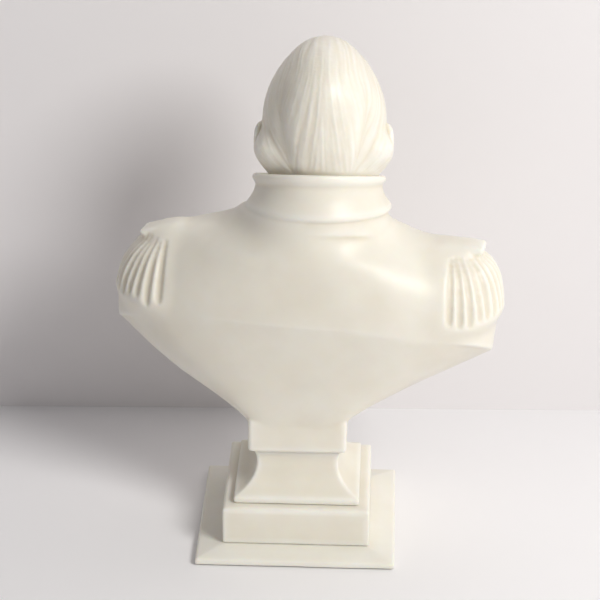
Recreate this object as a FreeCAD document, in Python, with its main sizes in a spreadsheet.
"""A uniformed bust on a stepped square socle, about 180 mm tall.

The figure faces -Y, +Z is up, and the origin is the centre of the felt that the socle stands on.
Three socle stones and the torso are pulled together by one M5 stud between an insert in the
torso's foot and a nut that is sunk in the die block. The head is a stone of its own, which sits on
the collar's sloping rim with an oval tenon and a steel dowel. Sizes are in millimetres.
"""
import math
import os

import FreeCAD
import Part
import Sketcher

from FreeCAD import Placement, Rotation, Vector

doc = FreeCAD.newDocument("bust")
sheet = doc.addObject("Spreadsheet::Sheet", "Sizes")

# Name, value in mm or degrees, and what it is.
SIZES = [
    ("felt_proud", 0.4, "how far the felt stands below the plinth"),
    ("felt_thickness", 1.4, "felt sheet"),
    ("felt_margin", 3.6, "plinth edge to felt"),
    ("plinth_width", 69.2, "plinth, over its edge"),
    ("plinth_height", 3.7, "plinth, where the die stands on it"),
    ("plinth_edge", 2.3, "height of the plinth's upright edge"),
    ("plinth_round", 0.9, "rounding of the plinth's edge"),
    ("die_width", 51.1, "die block, across the flats"),
    ("die_height", 13.8, "die block"),
    ("die_round", 1.2, "rounding of the die's top edge"),
    ("scotia_width", 43.7, "lip of the scotia block"),
    ("scotia_height", 17.7, "scotia block"),
    ("scotia_neck", 28.3, "scotia block at its narrowest"),
    ("cove_radius", 10.6, "radius of the hollow moulding"),
    ("cove_rise", 12.6, "centre of the hollow above the scotia's base"),
    ("foot_width", 34.2, "square foot of the torso"),
    ("foot_height", 10.5, "foot, up to the start of the coat"),
    ("foot_round", 0.8, "rounding of the foot's edges"),
    ("foot_overlap", 1.5, "foot, up inside the coat's stone"),
    ("foot_step", 0.25, "coat's underside set in from the foot's sides"),
    ("stud_diameter", 5.0, "M5 stud"),
    ("stud_clearance", 0.3, "stud to stone, on the radius"),
    ("thread_clearance", 0.02, "stud to nut and insert, on the radius"),
    ("insert_diameter", 8.0, "threaded insert"),
    ("insert_length", 12.0, "threaded insert"),
    ("glue_gap", 0.1, "round a glued or seated piece, on the radius"),
    ("counterbore", 17.0, "diameter of the nut's recess"),
    ("recess_depth", 7.0, "nut's recess, up into the die"),
    ("washer_diameter", 15.0, "plain washer"),
    ("washer_thickness", 1.2, "plain washer"),
    ("spring_diameter", 9.2, "split spring washer"),
    ("spring_thickness", 1.3, "split spring washer"),
    ("nut_flats", 8.0, "nut, across flats"),
    ("nut_height", 4.0, "nut"),
    ("stud_past_nut", 0.9, "stud below the nut"),
    ("pin_diameter", 2.0, "register pins between the stones"),
    ("pin_length", 6.0, "register pins between the stones"),
    ("pin_offset", 9.5, "register pins, off the axis"),
    ("coat_width", 131.0, "coat across the arms"),
    ("coat_back", 27.5, "axis to the back of the coat"),
    ("coat_front", 34.0, "axis to the chest"),
    ("coat_rise", 80.0, "foot to the top of the coat"),
    ("hem_rise", 28.0, "foot to the hem at the arms"),
    ("hem_angle", 27.0, "hem's rise towards the back, in degrees"),
    ("hem_arris", 0.3, "underside set in from the hem's edge"),
    ("hem_lip", 2.0, "stone above the hem that ties it to the underside"),
    ("chest_angle", 8.0, "chest turned to the figure's right, in degrees"),
    ("shoulder_angle", 0.6, "right shoulder lower, in degrees"),
    ("lean", 0.044, "sideways lean, per millimetre of height"),
    ("collar_width", 43.6, "standing collar"),
    ("collar_back", 20.8, "collar axis to its back"),
    ("collar_front", 18.6, "collar axis to its front"),
    ("collar_offset", 6.2, "collar axis, to the figure's right"),
    ("collar_rise", 86.6, "foot to the rim above the collar axis"),
    ("collar_depth", 20.0, "collar below its rim, down into the coat"),
    ("collar_flare", 4.0, "collar's spread where it meets the coat"),
    ("collar_step", 0.6, "collar set in from its rolled edge"),
    ("rim_angle", 20.3, "rim's rise towards the back, in degrees"),
    ("rim_band", 2.6, "width of the rolled edge"),
    ("rim_proud", 0.7, "rolled edge over the collar"),
    ("tenon_width", 26.0, "oval tenon under the head"),
    ("tenon_depth", 24.0, "oval tenon, front to back"),
    ("tenon_length", 7.0, "oval tenon"),
    ("tenon_end_gap", 0.3, "below the tenon"),
    ("dowel_diameter", 4.0, "steel dowel in the neck"),
    ("dowel_length", 26.0, "steel dowel in the neck"),
    ("epaulette_inset", 8.5, "arm's side to the epaulette's centre"),
    ("epaulette_rise", 60.8, "foot to the epaulette's board"),
    ("board_width", 16.0, "epaulette's board, front to back"),
    ("board_length", 26.0, "epaulette's board"),
    ("board_thickness", 2.4, "epaulette's board"),
    ("board_past", 3.0, "board, out past the epaulette's centre"),
    ("cord_top", 1.7, "radius of a fringe cord at the board"),
    ("cord_end", 2.1, "radius of a fringe cord at its end"),
    ("cord_drop", 18.0, "fringe, board to end"),
    ("cord_lean", 1.5, "fringe's ends, in towards the arm"),
    ("head_width", 40.4, "skull, with its hair"),
    ("head_back", 22.0, "ear line to the back of the hair"),
    ("head_front", 26.0, "ear line to the brow"),
    ("head_height", 57.1, "chin to crown"),
    ("head_offset", 7.7, "head's axis, to the figure's right"),
    ("chin_rise", 75.9, "foot to the chin"),
    ("nose_reach", 6.6, "nose in front of the face"),
    ("ear_height", 14.6, "ear"),
    ("ear_step", 0.6, "ear's middle outside the skull"),
    ("hair_depth", 1.0, "hair over the skull"),
]
for row, (alias, value, note) in enumerate(SIZES, start=1):
    sheet.set(f"A{row}", alias)
    sheet.set(f"B{row}", str(value))
    sheet.setAlias(f"B{row}", alias)
    sheet.set(f"C{row}", note)
doc.recompute()

FRINGE_CORDS = 11
FRINGE_FROM, FRINGE_TO = -112.0, 112.0
BIG = 400.0
SECTION_POINTS = 16
FOOT_SQUARENESS = 7.0
COLLAR_UPRIGHT_RATIO = 0.75
BOARD_FALL_ANGLE = 16.0

# Levels above the ground, as expressions on the sheet.
PLINTH_TOP = "(Sizes.felt_proud + Sizes.plinth_height)"
DIE_TOP = f"({PLINTH_TOP} + Sizes.die_height)"
SCOTIA_TOP = f"({DIE_TOP} + Sizes.scotia_height)"
RECESS_TOP = f"({PLINTH_TOP} + Sizes.recess_depth)"
STUD_HOLE = "(Sizes.stud_diameter / 2 + Sizes.stud_clearance)"
NUT_TOP = f"({RECESS_TOP} - Sizes.washer_thickness - Sizes.spring_thickness)"


def size(alias):
    """A sheet value, for the forms whose outlines are worked out here."""
    return float(sheet.get(alias))


def feature(kind, name, **expressions):
    """A document object with its properties bound to the sheet."""
    made = doc.addObject(kind, name)
    for path, expression in expressions.items():
        made.setExpression(path.replace("__", "."), expression)
    return made


def cylinder(name, radius, height, level, x="0", y="0"):
    """An upright Part::Cylinder whose foot is at the given level."""
    return feature(
        "Part::Cylinder", name, Radius=radius, Height=height,
        Placement__Base__x=x, Placement__Base__y=y, Placement__Base__z=level,
    )


def block(name, width, height, level):
    """A square Part::Box, centred on the axis."""
    half = f"-({width}) / 2"
    return feature(
        "Part::Box", name, Length=width, Width=width, Height=height,
        Placement__Base__x=half, Placement__Base__y=half, Placement__Base__z=level,
    )


def cut(name, base, *tools):
    """base less every tool."""
    made = doc.addObject("Part::Cut", name)
    made.Base = base
    made.Tool = tools[0] if len(tools) == 1 else fuse(name + "_tools", *tools)
    doc.recompute()
    return made


def fuse(name, *shapes):
    made = doc.addObject("Part::MultiFuse", name)
    made.Shapes = list(shapes)
    doc.recompute()
    return made


def common(name, base, tool):
    made = doc.addObject("Part::Common", name)
    made.Base = base
    made.Tool = tool
    doc.recompute()
    return made


def form(name, shape):
    """A worked-out shape as an object of the document."""
    made = doc.addObject("Part::Feature", name)
    made.Shape = shape
    return made


def edges_where(shape, test):
    """Numbers of the edges whose every sampled point passes the test."""
    found = []
    for number, edge in enumerate(shape.Edges, start=1):
        points = edge.discretize(5)
        if all(test(point) for point in points):
            found.append(number)
    return found


def fillet(name, base, radius_alias, test):
    """A Part::Fillet over the edges that pass the test."""
    radius = size(radius_alias)
    made = doc.addObject("Part::Fillet", name)
    made.Base = base
    made.Edges = [(number, radius, radius) for number in edges_where(base.Shape, test)]
    doc.recompute()
    return made


def body_of(label):
    """A PartDesign body and a maker of sketches on its own base plane."""
    body = doc.addObject("PartDesign::Body", label)
    plane = next(f for f in body.Origin.OriginFeatures if f.Role == "XY_Plane")

    def sketch(name, level):
        made = body.newObject("Sketcher::SketchObject", name)
        made.AttachmentSupport = (plane, [""])
        made.MapMode = "FlatFace"
        made.setExpression("AttachmentOffset.Base.z", level)
        return made

    return body, sketch


def draw_circle(sketch, diameter):
    """One circle at the origin, its diameter bound to an expression."""
    draft = size("foot_width")
    number = sketch.addGeometry(Part.Circle(Vector(0, 0, 0), Vector(0, 0, 1), draft / 2), False)
    sketch.addConstraint(Sketcher.Constraint("Coincident", number, 3, -1, 1))
    held = sketch.addConstraint(Sketcher.Constraint("Diameter", number, draft))
    sketch.setExpression(f"Constraints[{held}]", diameter)


def draw_square(sketch, width):
    """One square about the origin, its side bound to an expression."""
    draft = size("foot_width")
    corners = [Vector(x * draft / 2, y * draft / 2, 0) for x, y in ((-1, -1), (1, -1), (1, 1), (-1, 1))]
    for start, end in zip(corners, corners[1:] + corners[:1]):
        sketch.addGeometry(Part.LineSegment(start, end), False)
    for side in range(4):
        sketch.addConstraint(Sketcher.Constraint("Coincident", side, 2, (side + 1) % 4, 1))
        kind = "Horizontal" if side % 2 == 0 else "Vertical"
        sketch.addConstraint(Sketcher.Constraint(kind, side))
    sketch.addConstraint(Sketcher.Constraint("Symmetric", 0, 1, 1, 2, -1, 1))
    sketch.addConstraint(Sketcher.Constraint("Equal", 0, 1))
    held = sketch.addConstraint(Sketcher.Constraint("DistanceX", 0, 1, 0, 2, draft))
    sketch.setExpression(f"Constraints[{held}]", width)


def pad(body, sketch, height, name):
    made = body.newObject("PartDesign::Pad", name)
    made.Profile = sketch
    made.setExpression("Length", height)
    doc.recompute()
    return made


def pocket_up(body, sketch, depth, name):
    """A pocket that goes up from its sketch."""
    made = body.newObject("PartDesign::Pocket", name)
    made.Profile = sketch
    made.Reversed = True
    made.setExpression("Length", depth)
    doc.recompute()
    return made


# ---------------------------------------------------------------- socle

def make_pins(stone_levels):
    """Two steel pins across each joint; returns the pins and the holes that take them."""
    pins, holes = [], []
    for joint, level in enumerate(stone_levels, start=1):
        for side, sign in (("front", -1), ("back", 1)):
            turn = 1 if joint % 2 else -1
            x = f"{sign * turn} * Sizes.pin_offset"
            y = f"{sign} * Sizes.pin_offset"
            low = f"{level} - Sizes.pin_length / 2"
            pins.append(
                cylinder(f"pin_{joint}_{side}", "Sizes.pin_diameter / 2", "Sizes.pin_length", low, x, y)
            )
            holes.append(
                cylinder(
                    f"pin_hole_{joint}_{side}", "Sizes.pin_diameter / 2 + Sizes.glue_gap",
                    "Sizes.pin_length + 2 * Sizes.glue_gap", f"{low} - Sizes.glue_gap", x, y,
                )
            )
    group = doc.addObject("Part::Compound", "register_pins")
    group.Links = pins
    doc.recompute()
    return group, holes


def make_plinth(pin_holes):
    """The lowest slab: an upright rounded edge and a shallow fall from the die to that edge."""
    slab = block("plinth_slab_block", "Sizes.plinth_width", "Sizes.plinth_height", "Sizes.felt_proud")
    fall = doc.addObject("Part::Chamfer", "plinth_fall")
    fall.Base = slab
    doc.recompute()
    top = size("felt_proud") + size("plinth_height")
    down = size("plinth_height") - size("plinth_edge")
    inward = (size("plinth_width") - size("die_width")) / 2 - 0.4
    tops = edges_where(slab.Shape, lambda p: abs(p.z - top) < 1e-6)
    # The first length of a chamfer lies on the edge's first face, the upright one.
    fall.Edges = [(number, down, inward) for number in tops]
    doc.recompute()
    edge_level = size("felt_proud") + size("plinth_edge")
    rounded = fillet("plinth_rounded", fall, "plinth_round", lambda p: abs(p.z - edge_level) < 1e-6)
    felt_bed = block(
        "felt_bed", "Sizes.plinth_width - 2 * Sizes.felt_margin + 2 * Sizes.glue_gap",
        "Sizes.felt_thickness - Sizes.felt_proud", "Sizes.felt_proud",
    )
    access = cylinder("nut_access", "Sizes.counterbore / 2", PLINTH_TOP, "0")
    made = cut("plinth_slab", rounded, felt_bed, access, *pin_holes)
    felt = block("felt_base", "Sizes.plinth_width - 2 * Sizes.felt_margin", "Sizes.felt_thickness", "0")
    return made, felt


def make_die(pin_holes):
    """The middle block, with the nut's recess below and the stud's hole through it."""
    body, sketch = body_of("die_body")
    outline_sketch = sketch("die_outline", PLINTH_TOP)
    draw_square(outline_sketch, "Sizes.die_width")
    solid = pad(body, outline_sketch, "Sizes.die_height", "die_pad")
    top = size("felt_proud") + size("plinth_height") + size("die_height")
    rounded = body.newObject("PartDesign::Fillet", "die_edges")
    names = [f"Edge{n}" for n in edges_where(solid.Shape, lambda p: abs(p.z - top) < 1e-6)]
    rounded.Base = (solid, names)
    rounded.setExpression("Radius", "Sizes.die_round")
    doc.recompute()
    recess = sketch("recess_outline", PLINTH_TOP)
    draw_circle(recess, "Sizes.counterbore")
    pocket_up(body, recess, "Sizes.recess_depth", "nut_recess")
    through = sketch("stud_outline", PLINTH_TOP)
    draw_circle(through, f"2 * {STUD_HOLE}")
    pocket_up(body, through, "Sizes.die_height", "stud_hole")
    return cut("die_block", body, *pin_holes)


def make_scotia(pin_holes):
    """The upper stone: a square lip under a hollow moulding, mitred at the corners."""
    stone = block("scotia_stock", "Sizes.scotia_width", "Sizes.scotia_height", DIE_TOP)
    off = "(Sizes.scotia_neck / 2 + Sizes.cove_radius)"
    level = f"{DIE_TOP} + Sizes.cove_rise"
    coves = []
    sides = [("left", 1, False), ("right", -1, False), ("front", -1, True), ("back", 1, True)]
    for side, sign, along_x in sides:
        run = feature(
            "Part::Cylinder", f"cove_{side}", Radius="Sizes.cove_radius", Height="2 * Sizes.scotia_width"
        )
        across = f"{sign} * {off}"
        start = "-Sizes.scotia_width"
        axis = Vector(0, 1, 0) if along_x else Vector(1, 0, 0)
        run.Placement = Placement(Vector(0, 0, 0), Rotation(axis, 90 if along_x else -90))
        run.setExpression("Placement.Base.x", start if along_x else across)
        run.setExpression("Placement.Base.y", across if along_x else start)
        run.setExpression("Placement.Base.z", level)
        coves.append(run)
    bore = cylinder("scotia_bore", STUD_HOLE, "Sizes.scotia_height", DIE_TOP)
    return cut("scotia_block", stone, *coves, bore, *pin_holes)


# ---------------------------------------------------------------- stud and its fittings

def make_fittings():
    """Stud, insert, washers and nut, on the axis."""
    insert_top = f"({SCOTIA_TOP} + Sizes.insert_length)"
    stud_low = f"({NUT_TOP} - Sizes.nut_height - Sizes.stud_past_nut)"
    body, sketch = body_of("tie_stud")
    round_section = sketch("stud_section", stud_low)
    draw_circle(round_section, "Sizes.stud_diameter")
    rod = pad(body, round_section, f"{insert_top} - {stud_low} - 0.5", "stud_pad")
    ends = body.newObject("PartDesign::Chamfer", "stud_ends")
    rims = [f"Edge{n}" for n, edge in enumerate(rod.Shape.Edges, start=1) if len(edge.Vertexes) == 1]
    ends.Base = (rod, rims)
    ends.Size = 0.5
    doc.recompute()

    hole = "Sizes.stud_diameter / 2 + Sizes.thread_clearance"
    sleeve = cylinder("insert_sleeve", "Sizes.insert_diameter / 2", "Sizes.insert_length", SCOTIA_TOP)
    sleeve_bore = cylinder("insert_bore", hole, "Sizes.insert_length", SCOTIA_TOP)
    groove_band = cylinder("groove_band", "Sizes.insert_diameter", "Sizes.insert_length / 8",
                           f"{SCOTIA_TOP} + Sizes.insert_length * 0.45")
    groove_core = cylinder("groove_core", "Sizes.insert_diameter / 2 - 0.5", "Sizes.insert_length / 8",
                           f"{SCOTIA_TOP} + Sizes.insert_length * 0.45")
    groove = cut("insert_groove", groove_band, groove_core)
    insert = cut("foot_insert", sleeve, sleeve_bore, groove)

    washer_disc = cylinder("washer_disc", "Sizes.washer_diameter / 2", "Sizes.washer_thickness",
                           f"{RECESS_TOP} - Sizes.washer_thickness")
    washer_bore = cylinder("washer_bore", STUD_HOLE, "Sizes.washer_thickness",
                           f"{RECESS_TOP} - Sizes.washer_thickness")
    washer = cut("clamp_washer", washer_disc, washer_bore)

    spring_disc = cylinder("spring_disc", "Sizes.spring_diameter / 2", "Sizes.spring_thickness", NUT_TOP)
    spring_bore = cylinder("spring_bore", STUD_HOLE, "Sizes.spring_thickness", NUT_TOP)
    split = feature(
        "Part::Box", "spring_split", Length="Sizes.spring_diameter",
        Width="Sizes.spring_thickness / 2", Height="3 * Sizes.spring_thickness",
    )
    split.Placement = Placement(Vector(0, 0, 0), Rotation(Vector(1, 0, 0), 25))
    split.setExpression("Placement.Base.z", f"{NUT_TOP} - Sizes.spring_thickness")
    spring = cut("spring_washer", spring_disc, spring_bore, split)

    low = f"({NUT_TOP} - Sizes.nut_height)"
    hexagon = feature(
        "Part::Prism", "nut_hexagon", Circumradius="Sizes.nut_flats / 2 / cos(30)",
        Height="Sizes.nut_height", Placement__Base__z=low,
    )
    hexagon.Polygon = 6
    turned = cylinder("nut_turned", "Sizes.nut_flats / 2 / cos(30)", "Sizes.nut_height", low)
    doc.recompute()
    chamfered = doc.addObject("Part::Chamfer", "nut_corners")
    chamfered.Base = turned
    rims = [n for n, edge in enumerate(turned.Shape.Edges, start=1) if edge.isClosed()]
    chamfered.Edges = [(n, 0.35, 0.6) for n in rims]
    doc.recompute()
    corners = common("nut_blank", hexagon, chamfered)
    nut = cut("clamp_nut", corners, cylinder("nut_bore", hole, "Sizes.nut_height", low))
    return {
        "tie_stud": body, "foot_insert": insert, "clamp_washer": washer,
        "spring_washer": spring, "clamp_nut": nut,
    }


# ---------------------------------------------------------------- carved forms

def outline(half_width, back, front, power=2.0):
    """A closed smooth curve in the plane z = 0: a superellipse with its own back and front."""
    spots = []
    for step in range(SECTION_POINTS):
        angle = 2 * math.pi * step / SECTION_POINTS
        c, s = math.cos(angle), math.sin(angle)
        x = half_width * math.copysign(abs(c) ** (2 / power), c)
        y = (back if s > 0 else front) * math.copysign(abs(s) ** (2 / power), s)
        spots.append(Vector(x, y, 0))
    return closed_curve(spots)


def closed_curve(spots):
    """A smooth closed wire through the points, in two edges: its back and its front."""
    whole = Part.BSplineCurve()
    whole.interpolate(Points=spots, PeriodicFlag=True)
    middle = whole.parameter(spots[len(spots) // 2])
    edges = []
    for start, stop in ((whole.FirstParameter, middle), (middle, whole.LastParameter)):
        part = whole.copy()
        part.segment(start, stop)
        edges.append(part.toShape())
    return Part.Wire(edges)


def loft(sections, ruled=False):
    """A solid through the sections, with its faces outward."""
    solid = Part.makeLoft(sections, True, ruled)
    return solid.reversed() if solid.Volume < 0 else solid


def at(shape, x=0.0, y=0.0, z=0.0, tip=0.0):
    """shape moved to (x, y, z), first tipped up towards the back by tip degrees."""
    moved = shape.copy()
    moved.Placement = Placement(Vector(x, y, z), Rotation(Vector(1, 0, 0), tip))
    return moved


def levels():
    """Heights that the carved forms are built on."""
    foot_base = size("felt_proud") + size("plinth_height") + size("die_height") + size("scotia_height")
    return foot_base, foot_base + size("foot_height")


def coat_frame(share=1.0):
    """The chest's turn and the shoulders' drop, about the top of the foot."""
    _, foot_top = levels()
    turn = Rotation(Vector(0, 0, 1), -size("chest_angle") * share)
    drop = Rotation(Vector(0, 1, 0), -size("shoulder_angle") * share)
    pivot = Vector(0, 0, foot_top)
    return Placement(pivot, turn.multiply(drop)).multiply(Placement(-pivot, Rotation()))


def make_coat():
    """Chest, back and arms down to the hem, as one lofted form in the coat's frame."""
    _, foot_top = levels()
    half, rise = size("coat_width") / 2, size("coat_rise")
    back, front = size("coat_back"), size("coat_front")
    # Share of the coat's rise, of its half width, back and front, and how square the section is.
    rows = [
        (0.05, 0.955, 0.93, 0.82, 2.1),
        (0.17, 0.975, 0.96, 0.88, 2.2),
        (0.29, 0.99, 0.98, 0.94, 2.25),
        (0.41, 1.0, 1.0, 0.985, 2.25),
        (0.53, 0.998, 1.0, 1.0, 2.25),
        (0.62, 0.965, 1.0, 0.96, 2.2),
        (0.70, 0.89, 0.98, 0.88, 2.15),
        (0.765, 0.76, 0.955, 0.79, 2.1),
        (0.815, 0.61, 0.93, 0.69, 2.1),
        (0.86, 0.475, 0.90, 0.59, 2.0),
        (0.92, 0.38, 0.86, 0.49, 2.0),
        (1.0, 0.325, 0.80, 0.41, 2.0),
    ]
    sections = []
    for up, wide, to_back, to_front, power in rows:
        shift = -size("lean") * up * rise
        section = outline(half * wide, back * to_back, front * to_front, power)
        sections.append(at(section, x=shift, z=foot_top + up * rise))
    coat = loft(sections)

    # The hem is a slanted flat; everything above it stays.
    slope = size("hem_angle")
    hem_frame = coat_frame().multiply(
        Placement(Vector(0, 0, foot_top + size("hem_rise")), Rotation(Vector(1, 0, 0), slope))
    )
    coat.Placement = coat_frame()
    above = Part.makeBox(BIG, BIG, BIG, Vector(-BIG / 2, -BIG / 2, 0))
    above.Placement = hem_frame
    upper = coat.common(above)

    # Below it the stone is dished in to the square foot.
    flat = Part.makePlane(BIG, BIG, Vector(-BIG / 2, -BIG / 2, 0))
    flat.Placement = hem_frame
    edge = Part.Wire(Part.sortEdges(coat.section(flat).Edges)[0])
    back_to_flat = hem_frame.inverse()
    around = [back_to_flat.multVec(point) for point in edge.discretize(Number=361)]
    middle = Vector(sum(p.x for p in around) / len(around), sum(p.y for p in around) / len(around), 0)

    def hem_section(inset, lift):
        spots = []
        for step in range(SECTION_POINTS):
            angle = 2 * math.pi * step / SECTION_POINTS
            ray = Vector(math.cos(angle), math.sin(angle), 0)
            spot = max(around, key=lambda p: (p - middle).normalize().dot(ray))
            spots.append(spot - (spot - middle).normalize() * inset + Vector(0, 0, lift))
        section = closed_curve(spots)
        section.Placement = hem_frame
        return section

    foot = size("foot_width") / 2 - size("foot_step")
    neck = at(outline(foot, foot, foot, FOOT_SQUARENESS), z=foot_top - size("foot_overlap") / 2)
    dish_outline = outline(0.56 * half, 0.80 * back, 0.80 * front, 3.2)
    dish = at(dish_outline, z=foot_top + 0.34 * size("hem_rise"), tip=0.62 * slope)
    dish.Placement = coat_frame(0.6).multiply(dish.Placement)
    arris, tie = size("hem_arris"), size("hem_lip")
    under = loft([neck, dish, hem_section(arris, 0.0)])
    lip = loft([hem_section(arris, 0.0), hem_section(4 * arris, tie)], ruled=True)
    return form("coat", upper.multiFuse([under, lip]))


def rim_frame():
    """Placement whose plane z = 0 is the collar's sloping rim, centred on the collar."""
    _, foot_top = levels()
    return Placement(
        Vector(-size("collar_offset"), 0, foot_top + size("collar_rise")),
        Rotation(Vector(1, 0, 0), size("rim_angle")),
    )


def make_collar():
    """The standing collar and its rolled edge, cut off along the rim's plane."""
    half, back, front = size("collar_width") / 2, size("collar_back"), size("collar_front")
    rim = rim_frame()
    # Shares of the collar's depth and of its flare.
    rows = [(0.0, 0.0), (0.25, 0.0), (0.5, 0.3), (0.75, 0.7), (1.0, 1.0)]
    sections = []
    for down, spread in rows:
        more = spread * size("collar_flare") - size("collar_step")
        section = outline(half + more, back + more, front + more)
        depth = -down * size("collar_depth")
        lift = depth * math.tan(math.radians(size("rim_angle"))) * COLLAR_UPRIGHT_RATIO
        section.Placement = rim.multiply(Placement(Vector(0, lift, depth), Rotation()))
        sections.append(section)
    standing = form("collar_wall", loft(sections))
    band, proud = size("rim_band"), size("rim_proud")
    roll_sections = []
    for down, out in ((0.0, 0.3), (0.25, 1.0), (0.75, 1.0), (1.0, -0.5)):
        more = out * proud
        section = outline(half + more, back + more, front + more)
        section.Placement = rim.multiply(Placement(Vector(0, 0, -down * band), Rotation()))
        roll_sections.append(section)
    roll = form("collar_roll", loft(roll_sections, ruled=True))
    return fuse("collar", standing, roll)


def cord(top, end, top_radius, end_radius):
    """One fringe cord: a turned form that widens to a round end."""
    run = end - top
    length = run.Length - end_radius
    profile = Part.Wire([
        Part.makeLine(Vector(0, 0, 0), Vector(top_radius, 0, 0)),
        Part.makeLine(Vector(top_radius, 0, 0), Vector(end_radius, 0, length)),
        Part.Arc(
            Vector(end_radius, 0, length),
            Vector(end_radius * math.sqrt(0.5), 0, length + end_radius * math.sqrt(0.5)),
            Vector(0, 0, run.Length),
        ).toShape(),
        Part.makeLine(Vector(0, 0, run.Length), Vector(0, 0, 0)),
    ])
    turned = Part.Face(profile).revolve(Vector(0, 0, 0), Vector(0, 0, 1), 360)
    turned.Placement = Placement(top, Rotation(Vector(0, 0, 1), run))
    return turned


def make_epaulette(side, sign):
    """Board, its padded end and a fringe of tapered cords that spread over the arm."""
    _, foot_top = levels()
    reach = size("coat_width") / 2 - size("epaulette_inset")
    level = foot_top + size("epaulette_rise")
    width, length, thickness = size("board_width"), size("board_length"), size("board_thickness")
    board = Part.makeBox(length, width, thickness, Vector(-length, -width / 2, -thickness))
    outer_edges = [e for e in board.Edges if abs(e.CenterOfMass.x) < 1e-6]
    corners = [e for e in outer_edges if abs(e.CenterOfMass.z + thickness / 2) < 1e-6]
    board = board.makeFillet(0.42 * width, corners)
    fall = Rotation(Vector(0, 1, 0), BOARD_FALL_ANGLE)
    board.Placement = Placement(Vector(reach + size("board_past"), 0, level), fall)

    # Sizes along the arm and across it, where the cords leave the board and where they end.
    top_out, top_across = 0.44 * width, 0.60 * width
    end_out, end_across = 0.64 * width, 1.12 * width
    # Under the board's end a pad carries the cords: its level and spread in board thicknesses.
    centre = reach - 0.2 * thickness
    pad_sections = []
    for up, out, across in ((-1.92, 0.92, 1.08), (-0.75, 0.58, 0.62), (-0.25, 0.12, 0.17)):
        half_across = top_across + across * thickness
        section = outline(top_out + out * thickness, half_across, half_across)
        pad_sections.append(at(section, x=centre, z=level + up * thickness))
    pieces = [board, loft(pad_sections, ruled=True)]
    for step in range(FRINGE_CORDS):
        angle = math.radians(FRINGE_FROM + (FRINGE_TO - FRINGE_FROM) * step / (FRINGE_CORDS - 1))
        c, s = math.cos(angle), math.sin(angle)
        top = Vector(centre + top_out * c, top_across * s, level - thickness)
        end = Vector(centre - size("cord_lean") + end_out * c, end_across * s, level - size("cord_drop"))
        pieces.append(cord(top, end, size("cord_top"), size("cord_end")))
    whole = pieces[0].multiFuse(pieces[1:])
    if sign < 0:
        whole = whole.mirror(Vector(0, 0, 0), Vector(1, 0, 0))
    whole.translate(Vector(-size("lean") * size("epaulette_rise"), 0, 0))
    whole.Placement = coat_frame().multiply(whole.Placement)
    return form(f"epaulette_{side}", whole)


def oval(name, width, depth, start, length):
    """An oval prism square to the rim's plane."""
    face = Part.Face(outline(width / 2, depth / 2, depth / 2))
    solid = face.extrude(Vector(0, 0, length))
    solid.Placement = rim_frame().multiply(Placement(Vector(0, 0, start), Rotation()))
    return form(name, solid)


def dowel(name, radius, length):
    """A round bar square to the rim's plane, half in the torso and half in the head."""
    bar = Part.makeCylinder(radius, length)
    start = Placement(Vector(0, 0, -length / 2 - size("tenon_length") / 2), Rotation())
    bar.Placement = rim_frame().multiply(start)
    return form(name, bar)


def make_torso(pin_holes):
    """Coat, collar, epaulettes and foot are carved from one stone."""
    foot_base, _ = levels()
    stock_height = "Sizes.foot_height + Sizes.foot_overlap"
    foot_block = block("foot_stock", "Sizes.foot_width", stock_height, SCOTIA_TOP)
    doc.recompute()
    half = size("foot_width") / 2

    def low_or_corner(p):
        on_corner = abs(abs(p.x) - half) < 1e-6 and abs(abs(p.y) - half) < 1e-6
        return on_corner or abs(p.z - foot_base) < 1e-6

    foot = fillet("foot", foot_block, "foot_round", low_or_corner)
    carved = fuse(
        "torso_form", make_coat(), foot, make_collar(),
        make_epaulette("left", 1), make_epaulette("right", -1),
    )
    gap = size("glue_gap")
    socket = oval(
        "tenon_socket", size("tenon_width") + 2 * gap, size("tenon_depth") + 2 * gap,
        -size("tenon_length") - size("tenon_end_gap"), BIG / 8,
    )
    hole = dowel("dowel_hole_torso", size("dowel_diameter") / 2 + gap, size("dowel_length") + 2 * gap)
    insert_hole = cylinder(
        "insert_hole", "Sizes.insert_diameter / 2 + Sizes.glue_gap",
        "Sizes.insert_length + Sizes.glue_gap", SCOTIA_TOP,
    )
    return cut("torso", carved, socket, hole, insert_hole, *pin_holes)


def ellipsoid(x, y, z, rx, ry, rz):
    """An upright ellipsoid at (x, y, z)."""
    matrix = FreeCAD.Matrix()
    matrix.scale(rx, ry, rz)
    ball = Part.makeSphere(1.0).transformGeometry(matrix)
    ball.Placement = Placement(Vector(x, y, z), Rotation())
    return ball


def shell_of_ear(sign, x, y, z, half_height):
    """A tapered oval disc that stands out sideways and leans back."""
    rings = []
    for out, share in ((-0.27, 0.8), (0.08, 1.0), (0.25, 0.95)):
        ring = outline(0.62 * half_height * share, half_height * share, half_height * share)
        ring.Placement = Placement(Vector(0, 0, out * size("ear_height") / 2), Rotation())
        rings.append(ring)
    disc = loft(rings, ruled=True)
    sideways = Rotation(Vector(0, 1, 0), 90 * sign)
    upright = Rotation(Vector(0, 0, 1), 90)
    lean = Rotation(Vector(1, 0, 0), -12)
    flare = Rotation(Vector(0, 0, 1), 16 * sign)
    turned = lean.multiply(flare).multiply(sideways).multiply(upright)
    disc.Placement = Placement(Vector(x, y, z), turned)
    return disc


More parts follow.
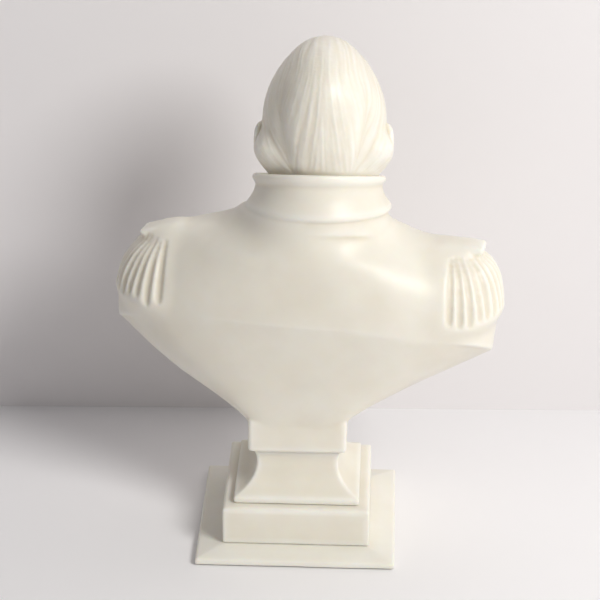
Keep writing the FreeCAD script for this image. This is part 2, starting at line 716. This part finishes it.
def make_head():
    """Skull, face, ears and hair, above the rim's plane, with the tenon below it."""
    _, foot_top = levels()
    chin = foot_top + size("chin_rise")
    tall = size("head_height")
    half, back, front = size("head_width") / 2, size("head_back"), size("head_front")
    axis_x = -size("head_offset")
    # Share of the head's height, of its half width, back and front, and how square the section is.
    rows = [
        (-0.10, 0.70, 0.72, 0.50, 2.0),
        (0.02, 0.70, 0.74, 0.84, 2.0),
        (0.11, 0.81, 0.77, 0.955, 2.0),
        (0.21, 0.93, 0.82, 0.95, 2.1),
        (0.32, 0.99, 0.89, 0.945, 2.25),
        (0.43, 1.0, 0.94, 0.93, 2.3),
        (0.53, 0.99, 0.98, 0.93, 2.3),
        (0.62, 0.95, 1.0, 0.99, 2.2),
        (0.71, 0.87, 0.99, 0.97, 2.1),
        (0.80, 0.74, 0.93, 0.88, 2.0),
        (0.88, 0.57, 0.79, 0.71, 2.0),
        (0.945, 0.38, 0.56, 0.48, 2.0),
        (0.985, 0.20, 0.31, 0.26, 2.0),
    ]
    sections = []
    for up, wide, to_back, to_front, power in rows:
        section = outline(half * wide, back * to_back, front * to_front, power)
        sections.append(at(section, z=chin + up * tall))
    crown = Vector(0, 0.05 * back, chin + tall)
    skull = loft(sections + [Part.Vertex(crown)])

    # The nose: level and half width in head heights, and its share of the nose's reach.
    nose_rows = [
        (0.53, 0.023, 0.2),
        (0.45, 0.032, 0.55),
        (0.38, 0.046, 0.95),
        (0.345, 0.060, 1.0),
        (0.315, 0.051, 0.55),
    ]
    root = 0.063 * tall
    nose_sections = []
    for up, wide, out in nose_rows:
        section = outline(wide * tall, root / 2, root + out * size("nose_reach"))
        nose_sections.append(at(section, y=-front * 0.92 + root, z=chin + up * tall))

    def oval_ball(x, y, up, radii):
        """An ellipsoid whose level and radii are shares of the head's height."""
        return ellipsoid(x, y, chin + up * tall, *(radius * tall for radius in radii))

    ear, step, ear_level = size("ear_height") / 2, size("ear_step"), chin + 0.39 * tall
    shells, conches, sockets, eyes = [], [], [], []
    for sign in (-1, 1):
        shells.append(shell_of_ear(sign, sign * (half + step), 0.2 * ear, ear_level, ear))
        conches.append(shell_of_ear(sign, sign * (half + 4.3 * step), 0.12 * ear, ear_level, 0.66 * ear))
        eye_x = sign * 0.37 * half
        sockets.append(oval_ball(eye_x, -front * 1.01, 0.505, (0.077, 0.070, 0.051)))
        eyes.append(oval_ball(eye_x, -front * 0.82, 0.50, (0.060, 0.060, 0.047)))
    lips = [
        oval_ball(0, -front * 0.945, 0.255, (0.086, 0.026, 0.0175)),
        oval_ball(0, -front * 0.94, 0.215, (0.0735, 0.026, 0.021)),
    ]
    hollowed = skull
    for hollow in sockets:
        hollowed = hollowed.cut(hollow)
    face = hollowed.multiFuse([loft(nose_sections)] + lips + shells + eyes)
    for hollow in conches:
        face = face.cut(hollow)

    depth = size("hair_depth")
    hair_sections = []
    for up, wide, to_back, to_front, power in rows[1:]:
        section = outline(
            half * wide + 0.9 * depth, back * to_back + depth, front * to_front + 0.7 * depth, power
        )
        hair_sections.append(at(section, z=chin + up * (tall + 0.6 * depth)))
    hair = loft(hair_sections + [Part.Vertex(crown + Vector(0, 0, 0.9 * depth))])
    # The hairline is an oval opening round the face, as deep as the ears' front.
    opening_edge = Part.Face(outline(0.72 * half, 0.44 * tall, 0.56 * tall, 2.3))
    opening = opening_edge.extrude(Vector(0, 0, 2 * front))
    facing_front = Rotation(Vector(1, 0, 0), 90)
    opening.Placement = Placement(Vector(0, -0.30 * front, chin + 0.42 * tall), facing_front)
    hair = hair.cut(opening)
    whole = face.fuse(hair)
    whole.translate(Vector(axis_x, 0, 0))

    above_rim = Part.makeBox(BIG, BIG, BIG, Vector(-BIG / 2, -BIG / 2, 0))
    above_rim.Placement = rim_frame()
    seated = common("head_form", form("head_carving", whole), form("above_rim", above_rim))
    width, depth, length = size("tenon_width"), size("tenon_depth"), size("tenon_length")
    tenon = oval("tenon", width, depth, -length, 1.3 * length)
    gap = size("glue_gap")
    hole = dowel("dowel_hole_head", size("dowel_diameter") / 2 + gap, size("dowel_length") + 2 * gap)
    return cut("head", fuse("head_and_tenon", seated, tenon), hole)


def check(nodes):
    """Stops the build if an object failed or a piece isn't a valid closed solid."""
    failed = [o.Name for o in doc.Objects if "Invalid" in o.State or "Error" in o.State]
    if failed:
        raise SystemExit(f"objects that failed: {failed}")
    for name, piece in nodes.items():
        shape = piece.Shape
        if shape.isNull() or not shape.isValid() or not shape.Solids:
            raise SystemExit(f"{name} is not a valid solid")


pins, pin_holes = make_pins([PLINTH_TOP, DIE_TOP, SCOTIA_TOP])
plinth, felt = make_plinth(pin_holes[0:2])
nodes = {
    "felt_base": felt,
    "plinth_slab": plinth,
    "die_block": make_die(pin_holes[0:4]),
    "scotia_block": make_scotia(pin_holes[2:6]),
    "register_pins": pins,
    **make_fittings(),
    "torso": make_torso(pin_holes[4:6]),
    "head": make_head(),
    "neck_dowel": dowel("dowel_bar", size("dowel_diameter") / 2, size("dowel_length")),
}
doc.recompute()
check(nodes)
os.makedirs("parts", exist_ok=True)
for name, piece in nodes.items():
    piece.Label = name
    piece.Shape.exportStep(f"parts/{name}.step")
    print(f"{name:14s} {len(piece.Shape.Solids)} solid(s), {piece.Shape.Volume / 1000:.2f} cm3")
